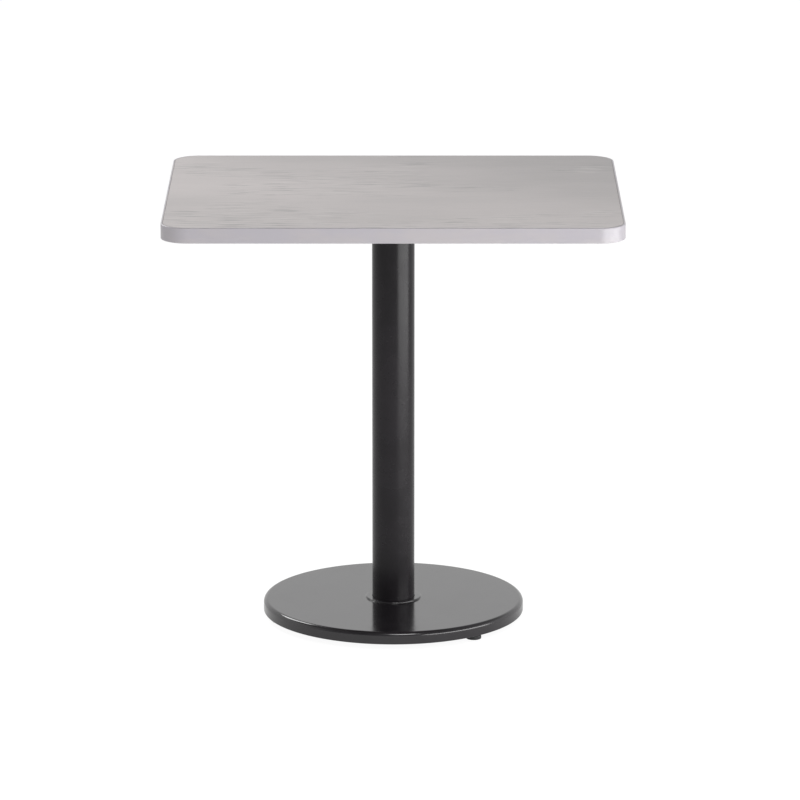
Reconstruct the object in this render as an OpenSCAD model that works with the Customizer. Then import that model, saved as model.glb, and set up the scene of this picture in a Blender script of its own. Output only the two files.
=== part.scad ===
// Bistro table: rectangular laminate top on a round tube column and a cast disc base
// with screw-in levelling glides. Millimetres, +Z up, origin on the floor under the column.

/* [Tabletop] */
// Length of the top, side to side
top_len = 762; // [560:1:1000]
// Depth of the top, front to back
top_depth = 610; // [480:1:800]
// Radius of the top's corners in plan
corner_r = 45; // [20:1:120]
// Thickness of the particle board core
core_t = 24; // [18:0.5:36]
// Thickness of the decorative laminate sheet
laminate_t = 0.8; // [0.6:0.1:1.5]
// Thickness of the backer sheet under the core
backer_t = 0.8; // [0.6:0.1:1.5]
// Height of the finished top surface over the floor
table_h = 742; // [600:1:1100]

/* [Edge band] */
// Thickness of the band's face in front of the core
band_t = 3; // [2:0.5:5]
// Radius on the band's upper and lower outer edges
band_edge_r = 1.5; // [0.5:0.1:2]
// Depth of the band's tongue into the core
tongue_len = 9; // [6:0.5:14]
// Thickness of the tongue between its barbs
tongue_t = 1.8; // [1.2:0.1:3]
// Height of a barb over the tongue's face
barb_h = 0.5; // [0.2:0.1:0.8]
// Barbs on each face of the tongue
barb_count = 4; // [2:1:6]
// Free space round the tongue in its slot
slot_clear = 0.2; // [0.1:0.05:0.5]
// Gap where the two ends of the band meet, at the back
band_joint = 0.3; // [0.1:0.1:1]

/* [Spider] */
// Distance from the column's axis to the middle of an arm's round tip
arm_len = 165; // [130:1:215]
// Width of an arm where it meets the hub
arm_root_w = 46; // [36:1:60]
// Width of an arm at its tip
arm_tip_w = 30; // [24:1:36]
// Thickness of an arm's plate against the top
arm_plate_t = 6; // [4:0.5:9]
// Thickness of the two side ribs of an arm
arm_rib_t = 4.5; // [3:0.5:6]
// Depth of an arm's side ribs at the tip, plate included
arm_tip_h = 9; // [8:0.5:12]
// Thickness of the hub's wall round the column
hub_wall = 8; // [6:0.5:12]
// Depth of the socket that the column stands up into
socket_depth = 12; // [8:1:20]
// Thickness of the web that the tie rod's nut pulls on
hub_web_t = 6; // [5:0.5:10]
// Distance from an arm's tip hole to its inner hole
screw_pitch = 62; // [40:1:70]

/* [Column] */
// Outer diameter of the column tube
column_d = 72; // [60:1:90]
// Wall thickness of the tube
column_wall = 2; // [1.5:0.1:4]
// Free space between the tube and the sockets it stands in
socket_clear = 0.3; // [0.1:0.05:0.5]

/* [Tie rod] */
// Diameter of the tie rod
rod_d = 10; // [8:1:12]
// Free space round the rod in the castings' holes
rod_clear = 0.5; // [0.3:0.1:1]
// Height of the rod's nuts
nut_h = 8; // [6:0.5:10]
// Width of the nuts across flats
nut_af = 17; // [15:0.5:19]
// Outer diameter of the washers
washer_d = 26; // [22:1:28]
// Thickness of the flat washers
washer_t = 2; // [1.5:0.1:2.5]
// Thickness of the spring washer
spring_t = 2.2; // [1.6:0.1:2.6]

/* [Base] */
// Diameter of the base casting
base_d = 444.5; // [380:0.5:600]
// Thickness of the base casting at its rim
base_t = 21; // [20:0.5:32]
// Radius of the rounded upper edge of the base
base_edge_r = 7; // [3:0.5:10]
// Thickness of the base's plate
base_plate_t = 7; // [5:0.5:8]
// Thickness of the base's rim wall
base_rim_w = 7; // [5:0.5:12]
// Thickness of the ribs under the base
base_rib_w = 7; // [5:0.5:12]
// Diameter of the raised ring that the column stands in
collar_d = 94; // [92:1:120]
// Height of the raised ring over the base
collar_h = 2.5; // [2:0.5:6]
// Depth of the column's seat, from the top of the ring
seat_depth = 4; // [3:0.5:6]
// Thickness of the web that the column stands on, over the tie rod's nut
base_web_t = 6; // [5:0.5:8]
// Ribs under the base
rib_count = 6; // [3:3:12]

/* [Levelling glides] */
// Distance from the base's axis to a glide
glide_r = 199; // [120:1:205]
// Angle of the first glide, from the right hand side
glide_angle = -47; // [-60:1:60]
// Number of glides
glide_count = 3;
// Height of the base over the floor with the glides screwed home
glide_gap = 11; // [10:0.5:16]
// Diameter of a glide's nylon pad
pad_d = 26; // [22:1:30]
// Diameter of a glide's threaded stem
stem_d = 8; // [8:1:10]
// Width of a stem's hexagon across flats
hex_af = 13; // [12:0.5:16]
// Height of a stem's hexagon
hex_h = 3.4; // [3:0.1:4]
// How far a glide screws out
glide_travel = 10; // [4:0.5:11]
// Length of thread that still holds when a glide is screwed right out
thread_hold = 5; // [4:0.5:6]

/* [Hidden] */
$fn = 96;

// A cut runs this far past the face that it opens
over = 1;
// Gap between two faces that would touch but move against each other
run_gap = 0.3;

// Tabletop
core_len = top_len - 2*band_t;
core_depth = top_depth - 2*band_t;
core_corner_r = corner_r - band_t;
top_t = laminate_t + core_t + backer_t;
under_z = table_h - top_t;
slot_z = backer_t + core_t/2;

// Base
base_r = base_d/2;
base_top_z = glide_gap + base_t;
collar_top_z = base_top_z + collar_h;
seat_z = collar_top_z - seat_depth;
seat_r = column_d/2 + socket_clear;
rod_hole_r = rod_d/2 + rod_clear;
nut_pocket_r = washer_d/2 + 2;
base_pocket_z = seat_z - base_web_t;
base_nut_z = base_pocket_z - washer_t - spring_t - nut_h;
base_hub_r = nut_pocket_r + 14;
rib_h = base_t - base_plate_t - 2;

// Spider and column
rod_proud = 1;
top_pocket_depth = washer_t + nut_h + 2*rod_proud;
hub_r = seat_r + hub_wall;
hub_h = socket_depth + hub_web_t + top_pocket_depth;
column_top_z = under_z - top_pocket_depth - hub_web_t;
column_len = column_top_z - seat_z;
arm_count = 4;
arm_root_h = hub_h - 6;

// Wood screws
screw_d = 4.8;
screw_len = 19;
screw_head_d = 9.5;
screw_head_h = 3.2;
screw_hole_d = 5.6;
pilot_clear = 0.1;

// Glides
insert_r = stem_d/2 + 3.2;
insert_len = glide_travel + thread_hold - 1;
boss_r = insert_r + 5.8;
thread_clear = 0.15;
pad_r = pad_d/2;
stem_r = stem_d/2;
flange_r = pad_r - 5;
flange_t = 1.5;
hex_z0 = glide_gap - run_gap - hex_h;
pad_h = hex_z0 - run_gap;
flange_z = pad_h/2 + 0.3;
stem_top_z = glide_gap + glide_travel + thread_hold;
hole_top_z = stem_top_z + 0.8;

// Everything that stands at a glide's place
module at_glide(number) {
    rotate([0, 0, glide_angle + number*360/glide_count])
        translate([glide_r, 0, 0])
            children();
}

module at_each_glide() {
    for (number = [0 : glide_count - 1])
        at_glide(number) children();
}

module at_each_arm() {
    for (arm = [0 : arm_count - 1])
        rotate([0, 0, 45 + arm*360/arm_count])
            children();
}

// The places of the wood screws on one arm
module at_arm_screws() {
    for (distance = [arm_len, arm_len - screw_pitch])
        translate([distance, 0, 0])
            children();
}

// A rectangle with round corners
module rounded_rect(len, depth, r) {
    square([len - 2*r, depth], center = true);
    square([len, depth - 2*r], center = true);
    for (x = [-1, 1], y = [-1, 1])
        translate([x*(len/2 - r), y*(depth/2 - r)])
            circle(r);
}

module sheet(z, thickness) {
    translate([0, 0, z])
        linear_extrude(thickness)
            rounded_rect(core_len, core_depth, core_corner_r);
}

module ring(inner_r, outer_r, z, height) {
    translate([0, 0, z])
        difference() {
            cylinder(r = outer_r, h = height);
            translate([0, 0, -over])
                cylinder(r = inner_r, h = height + 2*over);
        }
}

// --- Tabletop ---

module laminate_sheet() {
    color([0.72, 0.70, 0.69])
        sheet(table_h - laminate_t, laminate_t);
}

module backer_sheet() {
    color([0.30, 0.29, 0.28])
        difference() {
            sheet(under_z, backer_t);
            screw_pilots();
        }
}

// Holes that the wood screws fill
module screw_pilots() {
    at_each_arm() at_arm_screws()
        translate([0, 0, under_z - over])
            cylinder(d = screw_d + 2*pilot_clear, h = screw_len - arm_plate_t + over + 1, $fn = 32);
}

module core_board() {
    slot_depth = tongue_len + slot_clear + 0.5;
    slot_t = tongue_t + 2*barb_h + 2*slot_clear;
    color([0.72, 0.60, 0.44])
        difference() {
            sheet(under_z + backer_t, core_t);
            translate([0, 0, under_z + slot_z - slot_t/2])
                linear_extrude(slot_t)
                    difference() {
                        square([core_len + 2*over, core_depth + 2*over], center = true);
                        rounded_rect(core_len - 2*slot_depth, core_depth - 2*slot_depth,
                            max(core_corner_r - slot_depth, 1));
                    }
            screw_pilots();
        }
}

// The band's face: x outwards from the core's edge, y up from the underside of the top
module band_face() {
    intersection() {
        square([band_t, top_t]);
        union() {
            square([band_t - band_edge_r, top_t]);
            translate([0, band_edge_r])
                square([band_t, top_t - 2*band_edge_r]);
            for (y = [band_edge_r, top_t - band_edge_r])
                translate([band_t - band_edge_r, y])
                    circle(band_edge_r, $fn = 32);
        }
    }
}

// The band's face with its barbed tongue
module band_section() {
    barb_pitch = (tongue_len - 1)/barb_count;
    band_face();
    translate([-tongue_len, slot_z - tongue_t/2])
        square([tongue_len + 0.5, tongue_t]);
    for (barb = [0 : barb_count - 1])
        translate([-tongue_len + barb*barb_pitch, slot_z])
            polygon([[0, -tongue_t/2], [barb_pitch*0.7, -tongue_t/2 - barb_h],
                [barb_pitch*0.8, -tongue_t/2], [barb_pitch*0.8, tongue_t/2],
                [barb_pitch*0.7, tongue_t/2 + barb_h], [0, tongue_t/2]]);
}

module band_run(length) {
    translate([0, length/2, 0])
        rotate([90, 0, 0])
            linear_extrude(length)
                band_section();
}

module edge_band() {
    side_run = core_depth - 2*core_corner_r;
    front_run = core_len - 2*core_corner_r;
    color([0.75, 0.73, 0.75])
        difference() {
            translate([0, 0, under_z])
                union() {
                    for (turn = [0, 180])
                        rotate([0, 0, turn]) {
                            translate([core_len/2, 0, 0])
                                band_run(side_run);
                            translate([0, core_depth/2, 0])
                                rotate([0, 0, 90])
                                    band_run(front_run);
                            translate([core_len/2 - core_corner_r, core_depth/2 - core_corner_r, 0])
                                band_corner();
                            translate([core_corner_r - core_len/2, core_depth/2 - core_corner_r, 0])
                                rotate([0, 0, 90])
                                    band_corner();
                        }
                }
            translate([-band_joint/2, core_depth/2 - tongue_len - over, under_z - over])
                cube([band_joint, tongue_len + band_t + 2*over, top_t + 2*over]);
        }
}

module band_corner() {
    rotate_extrude(angle = 90)
        translate([core_corner_r, 0])
            band_section();
}

// --- Spider ---

module arm_outline(inset) {
    tip_r = arm_tip_w/2 - inset;
    polygon([[0, inset - arm_root_w/2], [arm_len, -tip_r], [arm_len, tip_r],
        [0, arm_root_w/2 - inset]]);
    translate([arm_len, 0])
        circle(tip_r, $fn = 48);
}

// One channel arm, plate up, its top face at z = 0
module spider_arm() {
    tip_x = arm_len + arm_tip_w/2;
    difference() {
        intersection() {
            translate([0, 0, -arm_root_h])
                linear_extrude(arm_root_h)
                    arm_outline(0);
            rotate([90, 0, 0])
                linear_extrude(arm_root_w + 2, center = true)
                    polygon([[0, 0], [tip_x, 0], [tip_x, -arm_tip_h],
                        [arm_len - arm_tip_w/2, -arm_tip_h], [hub_r, -arm_root_h], [0, -arm_root_h]]);
        }
        translate([0, 0, -arm_root_h - over])
            linear_extrude(arm_root_h + over - arm_plate_t)
                arm_outline(arm_rib_t);
        at_arm_screws()
            translate([0, 0, -arm_plate_t - over])
                cylinder(d = screw_hole_d, h = arm_plate_t + 2*over, $fn = 32);
    }
}

module spider() {
    color([0.13, 0.13, 0.14])
        translate([0, 0, under_z])
            difference() {
                union() {
                    at_each_arm() spider_arm();
                    translate([0, 0, -hub_h])
                        cylinder(r = hub_r, h = hub_h);
                }
                translate([0, 0, -hub_h - over])
                    cylinder(r = seat_r, h = socket_depth + over);
                translate([0, 0, -hub_h])
                    cylinder(r = rod_hole_r, h = hub_h);
                translate([0, 0, -top_pocket_depth])
                    cylinder(r = nut_pocket_r, h = top_pocket_depth + over);
            }
}

// A pan head wood screw, point up, the underside of its head at z = 0
module wood_screw() {
    point_h = 5;
    dome_r = (pow(screw_head_d/2, 2) + pow(screw_head_h, 2))/(2*screw_head_h) + 1.2;
    difference() {
        intersection() {
            translate([0, 0, -screw_head_h])
                cylinder(d = screw_head_d, h = screw_head_h, $fn = 48);
            translate([0, 0, dome_r - screw_head_h])
                sphere(dome_r, $fn = 64);
        }
        for (turn = [0, 90])
            rotate([0, 0, turn])
                translate([-2.4, -0.55, -screw_head_h - over])
                    cube([4.8, 1.1, 1.8 + over]);
    }
    cylinder(d = screw_d, h = screw_len - point_h, $fn = 32);
    translate([0, 0, screw_len - point_h])
        cylinder(d1 = screw_d, d2 = 0.6, h = point_h, $fn = 32);
}

module spider_screws() {
    color([0.75, 0.76, 0.78])
        at_each_arm() at_arm_screws()
            translate([0, 0, under_z - arm_plate_t])
                wood_screw();
}

// --- Column and tie rod ---

module column_tube() {
    color([0.14, 0.13, 0.15])
        ring(column_d/2 - column_wall, column_d/2, seat_z, column_len);
}

module tie_rod() {
    chamfer = 1;
    rod_z0 = base_nut_z - rod_proud;
    rod_len = under_z - rod_proud - rod_z0;
    color([0.70, 0.71, 0.73])
        translate([0, 0, rod_z0]) {
            cylinder(d1 = rod_d - 2*chamfer, d2 = rod_d, h = chamfer);
            translate([0, 0, chamfer])
                cylinder(d = rod_d, h = rod_len - 2*chamfer);
            translate([0, 0, rod_len - chamfer])
                cylinder(d1 = rod_d, d2 = rod_d - 2*chamfer, h = chamfer);
        }
}

// A hexagon nut with both its faces bevelled round
module hex_nut(z) {
    flat_r = nut_af/2;
    point_r = nut_af/sqrt(3);
    bevel = (point_r - flat_r)*0.6;
    translate([0, 0, z])
        difference() {
            intersection() {
                cylinder(r = point_r, h = nut_h, $fn = 6);
                rotate_extrude()
                    polygon([[0, 0], [flat_r, 0], [point_r + 0.2, bevel],
                        [point_r + 0.2, nut_h - bevel], [flat_r, nut_h], [0, nut_h]]);
            }
            translate([0, 0, -over])
                cylinder(r = rod_d/2 + 0.1, h = nut_h + 2*over);
        }
}

module top_washer() {
    color([0.75, 0.76, 0.78])
        ring(rod_hole_r, washer_d/2, under_z - top_pocket_depth, washer_t);
}

module top_nut() {
    color([0.75, 0.76, 0.78])
        hex_nut(under_z - top_pocket_depth + washer_t);
}

module base_washer() {
    color([0.75, 0.76, 0.78])
        ring(rod_hole_r, washer_d/2, base_pocket_z - washer_t, washer_t);
}

module base_spring_washer() {
    color([0.60, 0.61, 0.63])
        translate([0, 0, base_pocket_z - washer_t - spring_t])
            rotate_extrude(angle = 350)
                translate([rod_hole_r, 0])
                    square([3.6, spring_t]);
}

module base_nut() {
    color([0.75, 0.76, 0.78])
        hex_nut(base_nut_z);
}

// --- Base ---

// The disc's outer shape: x from the axis, y up from its underside
module disc_section() {
    foot_r = 1.5;
    square([base_r - foot_r, base_t - base_edge_r]);
    translate([0, foot_r])
        square([base_r, base_t - base_edge_r - foot_r]);
    square([base_r - base_edge_r, base_t]);
    translate([base_r - base_edge_r, base_t - base_edge_r])
        circle(base_edge_r);
    translate([base_r - foot_r, foot_r])
        circle(foot_r, $fn = 32);
}

// The raised ring round the foot of the column
module collar_section() {
    edge_r = min(2, collar_h - 0.1);
    square([collar_d/2 - edge_r, base_t + collar_h]);
    square([collar_d/2, base_t + collar_h - edge_r]);
    translate([collar_d/2 - edge_r, base_t + collar_h - edge_r])
        circle(edge_r, $fn = 48);
}

module base_casting() {
    color([0.15, 0.14, 0.16])
        translate([0, 0, glide_gap])
            difference() {
                union() {
                    difference() {
                        rotate_extrude()
                            union() {
                                disc_section();
                                collar_section();
                            }
                        translate([0, 0, -over])
                            cylinder(r = base_r - base_rim_w, h = base_t - base_plate_t + over);
                    }
                    cylinder(r = base_hub_r, h = base_t - base_plate_t + 0.5);
                    for (rib = [0 : rib_count - 1])
                        rotate([0, 0, glide_angle + rib*360/rib_count])
                            translate([0, -base_rib_w/2, base_t - base_plate_t - rib_h])
                                cube([base_r - base_rim_w/2, base_rib_w, rib_h + 0.5]);
                    at_each_glide()
                        cylinder(r = boss_r, h = base_t - base_plate_t + 0.5);
                }
                translate([0, 0, seat_z - glide_gap])
                    cylinder(r = seat_r, h = base_t);
                translate([0, 0, -over])
                    cylinder(r = nut_pocket_r, h = base_pocket_z - glide_gap + over);
                cylinder(r = rod_hole_r, h = base_t + over);
                at_each_glide() {
                    translate([0, 0, -over])
                        cylinder(r = insert_r, h = insert_len + over);
                    cylinder(r = stem_r + thread_clear, h = hole_top_z - glide_gap);
                }
            }
}

// --- Levelling glides ---

module glide_inserts() {
    color([0.78, 0.66, 0.36])
        at_each_glide()
            ring(stem_r + thread_clear, insert_r, glide_gap, insert_len);
}

module glide_pad(number) {
    edge_r = 1.5;
    color([0.12, 0.12, 0.13])
        at_glide(number)
            rotate_extrude()
                difference() {
                    union() {
                        translate([0, 0])
                            polygon([[0, 0], [pad_r - 1, 0], [pad_r, 1], [pad_r, pad_h - edge_r],
                                [0, pad_h - edge_r]]);
                        square([pad_r - edge_r, pad_h]);
                        translate([pad_r - edge_r, pad_h - edge_r])
                            circle(edge_r, $fn = 32);
                    }
                    translate([0, flange_z - run_gap])
                        square([flange_r + run_gap, flange_t + 2*run_gap]);
                    translate([0, flange_z])
                        square([stem_r + run_gap, pad_h]);
                }
}

module glide_stem(number) {
    chamfer = 0.8;
    color([0.72, 0.73, 0.75])
        at_glide(number) {
            translate([0, 0, flange_z])
                cylinder(r = flange_r, h = flange_t);
            translate([0, 0, flange_z])
                cylinder(r = stem_r, h = stem_top_z - chamfer - flange_z);
            translate([0, 0, hex_z0])
                cylinder(d = 2*hex_af/sqrt(3), h = hex_h, $fn = 6);
            translate([0, 0, stem_top_z - chamfer])
                cylinder(r1 = stem_r, r2 = stem_r - chamfer, h = chamfer);
        }
}

laminate_sheet();
core_board();
backer_sheet();
edge_band();
spider();
spider_screws();
column_tube();
tie_rod();
top_washer();
top_nut();
base_casting();
base_washer();
base_spring_washer();
base_nut();
glide_inserts();
glide_pad(0);  // glide_pad_1
glide_pad(1);  // glide_pad_2
glide_pad(2);  // glide_pad_3
glide_stem(0);  // glide_stem_1
glide_stem(1);  // glide_stem_2
glide_stem(2);  // glide_stem_3
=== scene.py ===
"""The finished look of a bistro table, built round its packed construction model.

The construction model gives every piece's place and size. This script finishes each
surface, and rebuilds in fine mesh the pieces whose solids leave out threads, cast
fillets, screw recesses and trimmed edges. Shapes are drawn in millimetres and scaled
once, when they become a mesh. +Z is up.
"""

import math

import bmesh
import bpy
from mathutils import Matrix, Vector


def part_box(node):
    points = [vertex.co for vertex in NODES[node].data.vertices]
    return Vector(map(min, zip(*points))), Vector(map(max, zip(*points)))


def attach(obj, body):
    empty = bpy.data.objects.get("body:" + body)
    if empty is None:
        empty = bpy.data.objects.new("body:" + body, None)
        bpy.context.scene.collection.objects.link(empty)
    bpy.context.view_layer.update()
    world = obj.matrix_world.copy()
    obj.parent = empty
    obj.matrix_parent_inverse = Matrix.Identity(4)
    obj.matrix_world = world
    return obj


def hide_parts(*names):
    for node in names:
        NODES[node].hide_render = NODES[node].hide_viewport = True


bl_info = {
    "name": "Bistro Table Finish",
    "version": (1, 0, 0),
    "blender": (4, 5, 0),
    "location": "View3D > Sidebar > Bistro Table",
    "description": "Finishes a laminate-topped bistro table: surfaces, threads, fasteners and a studio stage",
    "category": "Object",
}

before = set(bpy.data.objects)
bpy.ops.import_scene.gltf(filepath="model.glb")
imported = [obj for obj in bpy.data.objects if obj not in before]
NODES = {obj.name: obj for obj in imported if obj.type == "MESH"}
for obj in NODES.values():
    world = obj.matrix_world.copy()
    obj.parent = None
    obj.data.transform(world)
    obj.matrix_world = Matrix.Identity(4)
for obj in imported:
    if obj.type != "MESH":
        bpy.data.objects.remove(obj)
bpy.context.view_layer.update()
GLIDES = (1, 2, 3)

TAU = 2*math.pi
MM = 0.001


# --- Sizes read from the frame, in millimetres ---

def low_and_high(node):
    """The lowest and highest corners of a node's box, in millimetres."""
    low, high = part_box(node)
    return low/MM, high/MM


def middle(node):
    """The middle of a node's box, in millimetres."""
    low, high = low_and_high(node)
    return (low + high)/2


SHEET_LOW, SHEET_HIGH = low_and_high("laminate_sheet")
BAND_LOW, BAND_HIGH = low_and_high("edge_band")
BASE_LOW, BASE_HIGH = low_and_high("base_casting")
TUBE_LOW, TUBE_HIGH = low_and_high("column_tube")
ROD_LOW, ROD_HIGH = low_and_high("tie_rod")
SPIDER_LOW, SPIDER_HIGH = low_and_high("spider")
SCREW_LOW, SCREW_HIGH = low_and_high("spider_screws")
PAD_LOW, PAD_HIGH = low_and_high("glide_pad_1")
STEM_LOW, STEM_HIGH = low_and_high("glide_stem_1")
GLIDE_PLACE = middle("glide_pad_1").xy
GLIDE_RADIUS = GLIDE_PLACE.length
GLIDE_ANGLE = math.atan2(GLIDE_PLACE.y, GLIDE_PLACE.x)

ROD_HOLE_R = 5.5
NUT_POCKET_R = 15.0
SEAT_R = TUBE_HIGH.x + 0.3
BASE_TOP_Z = BASE_LOW.z + 21.0
PLATE_UNDER_Z = BASE_TOP_Z - 7.0
BASE_POCKET_Z = TUBE_LOW.z - 6.0
TOP_POCKET_Z = TUBE_HIGH.z + 6.0
INSERT_TOP_Z = BASE_LOW.z + 14.0
CORE_CORNER_R = 42.0
ARM_FIRST_ANGLE = math.radians(45)
ARM_LENGTH = 165.0
SCREW_SPACING = 62.0


# --- Settings that a user would change ---

class TableTopLook(bpy.types.PropertyGroup):
    """Colours and sizes of the laminate and its edge band"""

    laminate_light: bpy.props.FloatVectorProperty(
        name="Laminate, light", description="Colour between the grain lines of the laminate",
        subtype="COLOR", size=3, min=0, max=1, default=(0.540, 0.497, 0.490))
    # The dark laminate colour is also what the painted shade towards the back right blends to.
    laminate_dark: bpy.props.FloatVectorProperty(
        name="Laminate, dark", description="Colour of the laminate's grain lines",
        subtype="COLOR", size=3, min=0, max=1, default=(0.255, 0.245, 0.246))
    band_colour: bpy.props.FloatVectorProperty(
        name="Edge band", description="Colour of the edge band",
        subtype="COLOR", size=3, min=0, max=1, default=(0.418, 0.394, 0.408))
    kraft_colour: bpy.props.FloatVectorProperty(
        name="Kraft core", description="Colour of the laminate's cut edge and of the backer sheet",
        subtype="COLOR", size=3, min=0, max=1, default=(0.065, 0.055, 0.048))
    streak_length: bpy.props.FloatProperty(
        name="Streak length", description="Length of a grain streak along the top",
        unit="LENGTH", min=0.005, max=0.3, default=0.075)
    streak_width: bpy.props.FloatProperty(
        name="Streak width", description="Width of a grain streak across the top",
        unit="LENGTH", min=0.0005, max=0.02, default=0.0036)
    satin: bpy.props.FloatProperty(
        name="Roughness", description="Roughness of the laminate",
        subtype="FACTOR", min=0, max=1, default=0.42)
    trim: bpy.props.FloatProperty(
        name="Trimmed edge", description="Width of the bevel that the trimmer leaves on the laminate's edge",
        unit="LENGTH", min=0, max=0.0008, default=0.0006)
    band_round: bpy.props.FloatProperty(
        name="Band edge radius", description="Radius of the edge band's outer edges",
        unit="LENGTH", min=0.0002, max=0.0029, default=0.0015)


class MetalLook(bpy.types.PropertyGroup):
    """Colours of the coated, plated and moulded pieces, and the sizes of the castings and threads"""

    column_colour: bpy.props.FloatVectorProperty(
        name="Column", description="Colour of the column's powder coat",
        subtype="COLOR", size=3, min=0, max=1, default=(0.0098, 0.0084, 0.0100))
    casting_colour: bpy.props.FloatVectorProperty(
        name="Castings", description="Colour of the coated castings",
        subtype="COLOR", size=3, min=0, max=1, default=(0.0085, 0.0074, 0.0088))
    zinc_colour: bpy.props.FloatVectorProperty(
        name="Zinc", description="Colour of zinc-plated steel",
        subtype="COLOR", size=3, min=0, max=1, default=(0.62, 0.63, 0.63))
    brass_colour: bpy.props.FloatVectorProperty(
        name="Brass", description="Colour of the brass bushes",
        subtype="COLOR", size=3, min=0, max=1, default=(0.74, 0.52, 0.22))
    nylon_colour: bpy.props.FloatVectorProperty(
        name="Nylon", description="Colour of the glides' pads",
        subtype="COLOR", size=3, min=0, max=1, default=(0.011, 0.011, 0.012))
    cast_fillet: bpy.props.FloatProperty(
        name="Cast fillet", description="Radius where the base's plate meets its rim, ribs and bosses",
        unit="LENGTH", min=0.0005, max=0.005, default=0.003)
    stem_pitch: bpy.props.FloatProperty(
        name="Glide thread pitch", description="Pitch of the glides' M8 thread",
        unit="LENGTH", min=0.0005, max=0.002, default=0.00125)
    rod_pitch: bpy.props.FloatProperty(
        name="Rod thread pitch", description="Pitch of the tie rod's M10 thread",
        unit="LENGTH", min=0.0005, max=0.003, default=0.0015)
    screw_pitch: bpy.props.FloatProperty(
        name="Wood screw pitch", description="Pitch of the wood screws' thread",
        unit="LENGTH", min=0.001, max=0.004, default=0.0022)


class StageSettings(bpy.types.PropertyGroup):
    """The camera, floor and lights round the table"""

    camera_distance: bpy.props.FloatProperty(
        name="Camera distance", description="How far in front of the column the camera stands",
        unit="LENGTH", min=1, max=30, default=8.887)
    camera_height: bpy.props.FloatProperty(
        name="Camera height", description="Height of the camera over the floor",
        unit="LENGTH", min=0, max=10, default=2.570)
    camera_side: bpy.props.FloatProperty(
        name="Camera side step", description="How far the camera stands to the right of the column",
        unit="LENGTH", min=-1, max=1, default=0.0113)
    camera_tilt: bpy.props.FloatProperty(
        name="Camera tilt", description="How far the camera looks down from level",
        subtype="ANGLE", min=0, max=1.5, default=math.radians(13.85))
    lens: bpy.props.FloatProperty(
        name="Lens", description="Focal length in millimetres on a 36 mm sensor",
        min=20, max=500, default=242.2)
    floor_size: bpy.props.FloatProperty(
        name="Floor size", description="Width of the floor",
        unit="LENGTH", min=5, max=200, default=120)
    sky: bpy.props.FloatProperty(
        name="Surrounding light", description="Brightness of the light that comes from all round",
        min=0, max=5, default=1.0)
    front_sky: bpy.props.FloatProperty(
        name="Light from the front", description="Brightness of the surroundings behind the camera",
        min=0, max=5, default=0.35)
    high_sky: bpy.props.FloatProperty(
        name="Light from above", description="Brightness high up, as a share of that at eye level",
        min=0, max=5, default=0.35)


def look(name):
    """One of this scene's three groups of settings."""
    return getattr(bpy.context.scene, name)


# --- Node trees ---

def add_node(tree, kind, inputs=None, **settings):
    """A node of a kind, with its settings, and its inputs set or linked."""
    made = tree.nodes.new(kind)
    for key, value in settings.items():
        setattr(made, key, value)
    for key, value in (inputs or {}).items():
        if isinstance(value, bpy.types.NodeSocket):
            tree.links.new(value, made.inputs[key])
        else:
            made.inputs[key].default_value = value
    return made


def maths(tree, operation, *values, clamp=False):
    """The output of a Math node with these values or sockets as inputs."""
    node = add_node(tree, "ShaderNodeMath", dict(enumerate(values)), operation=operation)
    node.use_clamp = clamp
    return node.outputs[0]


def remap(tree, value, low, high, out_low=0.0, out_high=1.0):
    """A value mapped from one range to another, smoothly and held at the ends."""
    node = add_node(tree, "ShaderNodeMapRange", {0: value, 1: low, 2: high, 3: out_low, 4: out_high})
    node.interpolation_type = "SMOOTHSTEP"
    return node.outputs[0]


def new_tree(name, kind, inputs, outputs):
    """A node group with its sockets, as (tree, outputs of its input node, inputs of its output node)."""
    tree = bpy.data.node_groups.new(name, kind)
    for title, socket_kind, default in inputs:
        socket = tree.interface.new_socket(name=title, in_out="INPUT", socket_type=socket_kind)
        if default is not None:
            socket.default_value = default
    for title, socket_kind in outputs:
        tree.interface.new_socket(name=title, in_out="OUTPUT", socket_type=socket_kind)
    given = tree.nodes.new("NodeGroupInput").outputs
    result = tree.nodes.new("NodeGroupOutput").inputs
    return tree, given, result


def shared(name, build):
    """The node group of this name, built on first use."""
    return bpy.data.node_groups.get(name) or build(name)


# --- Geometry node trees ---

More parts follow.
